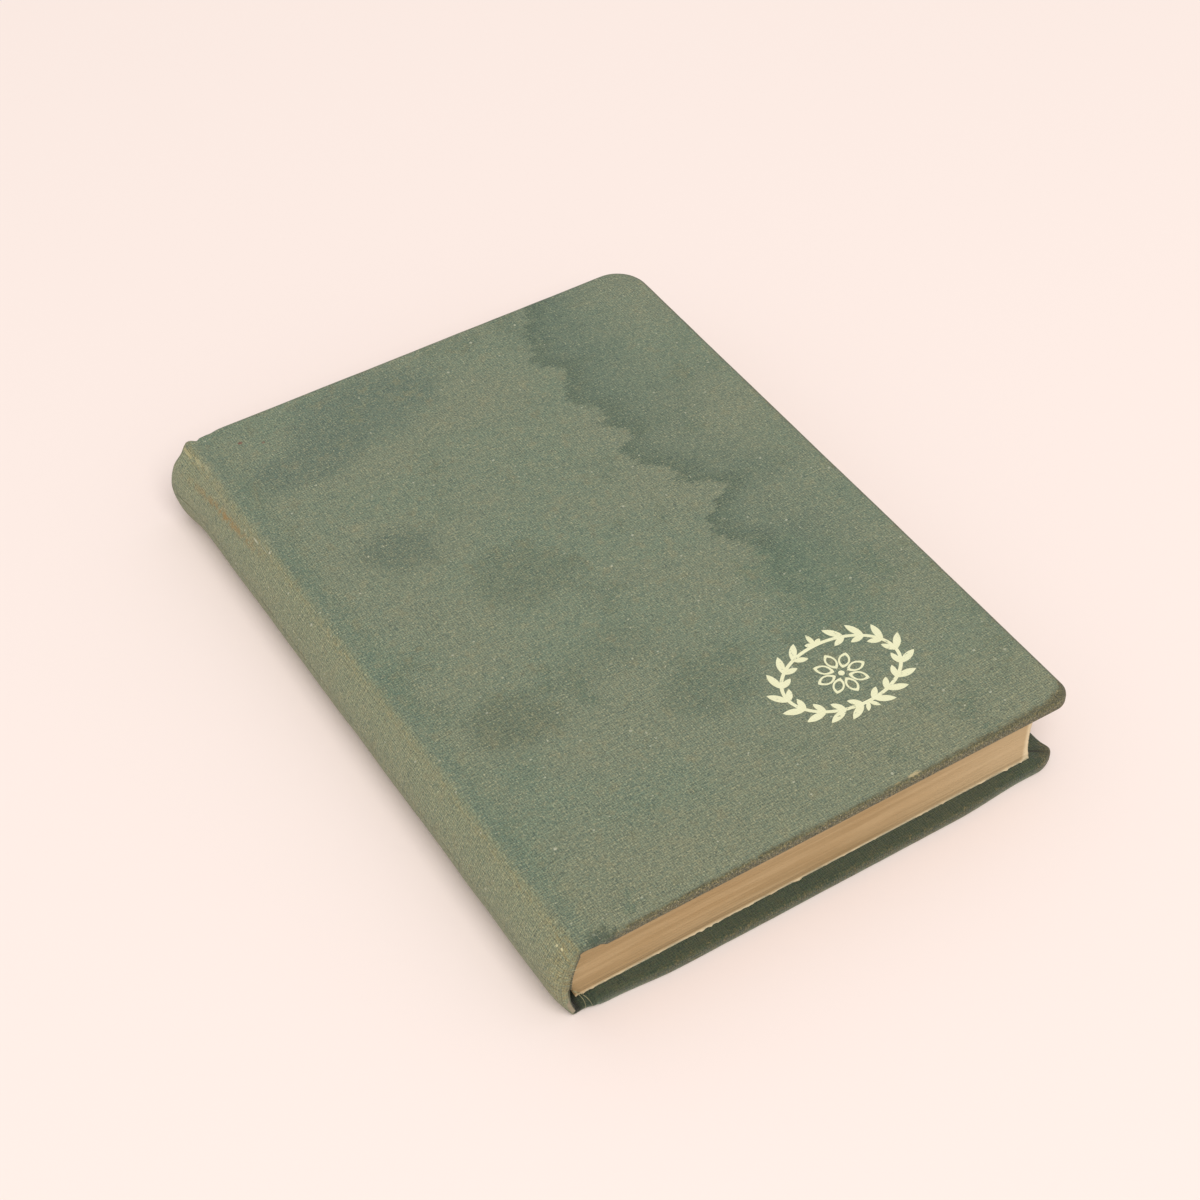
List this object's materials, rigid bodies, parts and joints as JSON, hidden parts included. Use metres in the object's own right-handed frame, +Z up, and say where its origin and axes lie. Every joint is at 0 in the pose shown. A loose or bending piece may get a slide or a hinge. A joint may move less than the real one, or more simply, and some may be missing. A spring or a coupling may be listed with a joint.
{
  "type": "hardback book",
  "caption": "Old cloth-bound hardback book lying closed, green cloth over boards, rounded hollow spine, plain foil wreath; both covers open on their joints.",
  "frame": {"origin": "middle of the closed book's footprint, on the surface it lies on", "axes": "+X from the spine to the fore edge, +Y from tail to head, +Z up out of the front cover"},
  "size_m": [0.1404, 0.192, 0.0242],
  "materials": {
    "book_cloth": "matte plain-weave book cloth, faded green with water stains",
    "board": "matte straw board",
    "page_paper": "matte browned page edges",
    "endpaper": "matte yellowed paper",
    "mull": "matte open-weave cotton",
    "kraft": "matte brown paper",
    "foil": "satin pale cream pigment foil"
  },
  "bodies": {
    "text_block": {"page_block": "page_paper", "front_flyleaf": "endpaper", "back_flyleaf": "endpaper", "spine_mull": "mull", "spine_lining": "kraft", "spine_liner": "board", "spine_cloth": "book_cloth"},
    "front_cover": {"front_board": "board", "front_cloth": "book_cloth", "front_mull_flange": "mull", "front_pastedown": "endpaper", "foil_stamp": "foil"},
    "back_cover": {"back_board": "board", "back_cloth": "book_cloth", "back_mull_flange": "mull", "back_pastedown": "endpaper"}
  },
  "joints": [
    {"name": "front_cover_hinge", "type": "hinge", "parent": "text_block", "child": "front_cover", "pos_m": [-0.0628, 0, 0.022], "axis": [0, -1, 0], "range_deg": [0, 180]},
    {"name": "back_cover_hinge", "type": "hinge", "parent": "text_block", "child": "back_cover", "pos_m": [-0.0643, 0, 0.0021], "axis": [0, 1, 0], "range_deg": [0, 180]}
  ]
}
